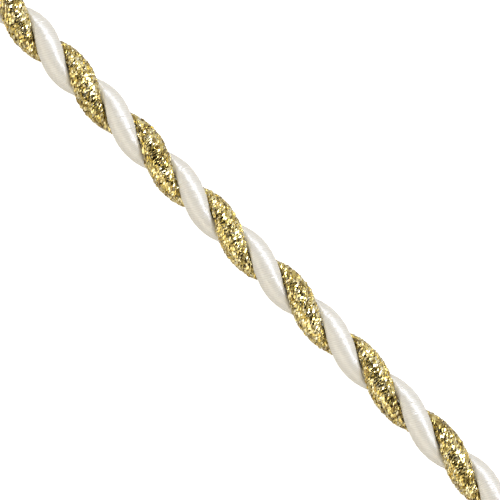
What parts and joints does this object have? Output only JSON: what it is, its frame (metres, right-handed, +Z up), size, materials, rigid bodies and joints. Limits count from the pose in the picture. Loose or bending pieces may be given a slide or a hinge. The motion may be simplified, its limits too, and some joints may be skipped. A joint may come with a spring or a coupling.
{
  "type": "twisted cord trim",
  "caption": "Decorative cord trim: a satin-wrapped ply and a metallic-wrapped ply twisted round each other, lying straight, cut to a length.",
  "frame": {"origin": "on the surface that the cord lies on, under the middle of its length and width", "axes": "+X along the cord, +Y across it, +Z up from the surface"},
  "size_m": [0.13, 0.0062, 0.0059],
  "materials": {
    "gold_metallic_thread": "crinkled gold lame thread wound round the ply, with bright glints and dark flecks",
    "satin_floss": "glossy ivory-white satin floss wound round the ply in fine even turns"
  },
  "bodies": {
    "root": {"metallic_ply": "gold_metallic_thread", "satin_ply": "satin_floss"}
  },
  "joints": []
}
